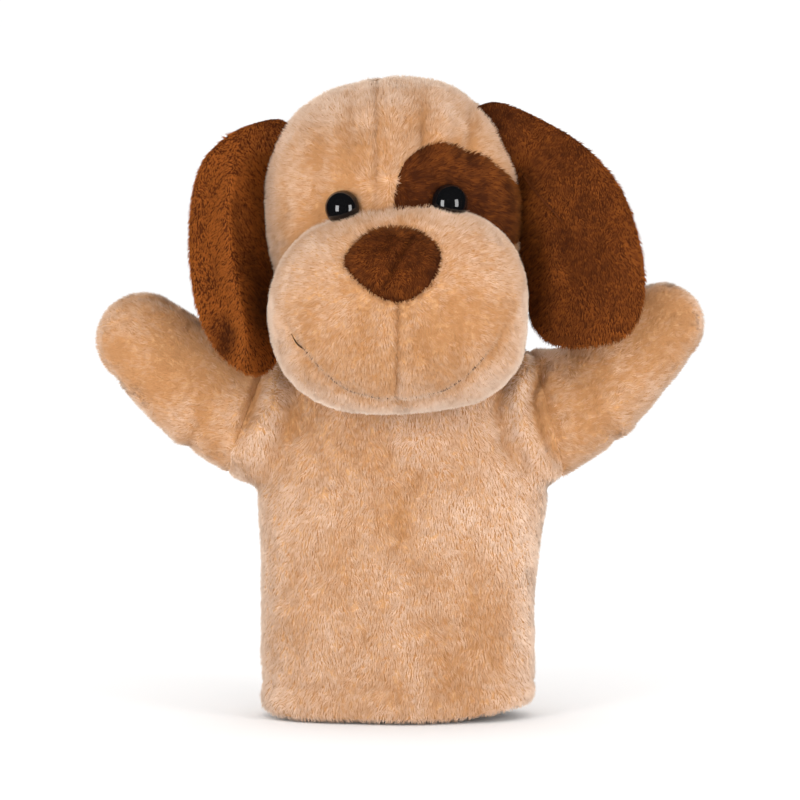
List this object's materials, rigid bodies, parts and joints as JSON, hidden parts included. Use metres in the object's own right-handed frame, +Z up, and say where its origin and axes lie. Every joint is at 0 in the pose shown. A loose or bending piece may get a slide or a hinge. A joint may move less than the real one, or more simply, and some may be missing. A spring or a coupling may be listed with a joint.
{
  "type": "plush hand puppet",
  "caption": "Short-pile plush dog hand puppet with a hand opening in the hem, finger pockets, a turning stuffed head, swinging arms and hanging ears.",
  "frame": {"origin": "centre of the hand opening, in the plane of the hem", "axes": "+Z up through the neck, -Y the way the face looks, -X the side of the plain eye"},
  "size_m": [0.2346, 0.1327, 0.2476],
  "materials": {
    "tan_plush": "short pile",
    "brown_plush": "short pile",
    "fibre_filling": "loose polyester fibre",
    "sleeve_cotton": "plain woven",
    "eye_black": "polished",
    "washer_white": "moulded",
    "dark_thread": "twisted thread",
    "tan_thread": "twisted thread"
  },
  "bodies": {
    "body": {"body_front_panel": "tan_plush", "body_back_panel": "tan_plush", "hem_facing": "tan_plush", "hem_stitching": "tan_thread"},
    "neck_turning": {"neck_gusset": "tan_plush"},
    "neck_nodding": {"neck_band": "tan_plush"},
    "head": {"forehead_left_panel": "tan_plush", "forehead_right_panel": "tan_plush", "eye_patch": "brown_plush", "head_back_left_panel": "tan_plush", "head_back_right_panel": "tan_plush", "muzzle_left_panel": "tan_plush", "muzzle_right_panel": "tan_plush", "chin_panel": "tan_plush", "nose_panel": "brown_plush", "head_stuffing": "fibre_filling", "muzzle_stuffing": "fibre_filling", "head_finger_sleeve": "sleeve_cotton", "left_eye": "eye_black", "right_eye": "eye_black", "left_eye_washer": "washer_white", "right_eye_washer": "washer_white", "mouth_stitching": "dark_thread"},
    "left_ear": {"left_ear_front_panel": "brown_plush", "left_ear_back_panel": "brown_plush"},
    "right_ear": {"right_ear_front_panel": "brown_plush", "right_ear_back_panel": "brown_plush"},
    "left_arm": {"left_arm_front_panel": "tan_plush", "left_arm_back_panel": "tan_plush", "left_paw_stuffing": "fibre_filling"},
    "right_arm": {"right_arm_front_panel": "tan_plush", "right_arm_back_panel": "tan_plush", "right_paw_stuffing": "fibre_filling"}
  },
  "joints": [
    {"name": "head_turn", "type": "hinge", "parent": "body", "child": "neck_turning", "pos_m": [0.001, 0.002, 0.128], "axis": [0, 0, 1], "range_deg": [-12, 12]},
    {"name": "head_nod", "type": "hinge", "parent": "neck_turning", "child": "neck_nodding", "pos_m": [0.001, 0.002, 0.128], "axis": [-1, 0, 0], "range_deg": [-12, 15]},
    {"name": "head_tilt", "type": "hinge", "parent": "neck_nodding", "child": "head", "pos_m": [0.001, 0.002, 0.128], "axis": [0, -1, 0], "range_deg": [-8, 8]},
    {"name": "left_arm_swing", "type": "hinge", "parent": "body", "child": "left_arm", "pos_m": [-0.0545, 0.003, 0.1125], "axis": [0.1939, -0.6007, 0.7756], "range_deg": [-8, 62]},
    {"name": "right_arm_swing", "type": "hinge", "parent": "body", "child": "right_arm", "pos_m": [0.056, 0.003, 0.1115], "axis": [0.1939, 0.6007, -0.7756], "range_deg": [-8, 62]},
    {"name": "left_ear_lift", "type": "hinge", "parent": "head", "child": "left_ear", "pos_m": [-0.044, -0.007, 0.232], "axis": [0, 1, 0], "range_deg": [0, 30]},
    {"name": "right_ear_lift", "type": "hinge", "parent": "head", "child": "right_ear", "pos_m": [0.033, -0.007, 0.238], "axis": [0, -1, 0], "range_deg": [0, 30]}
  ]
}
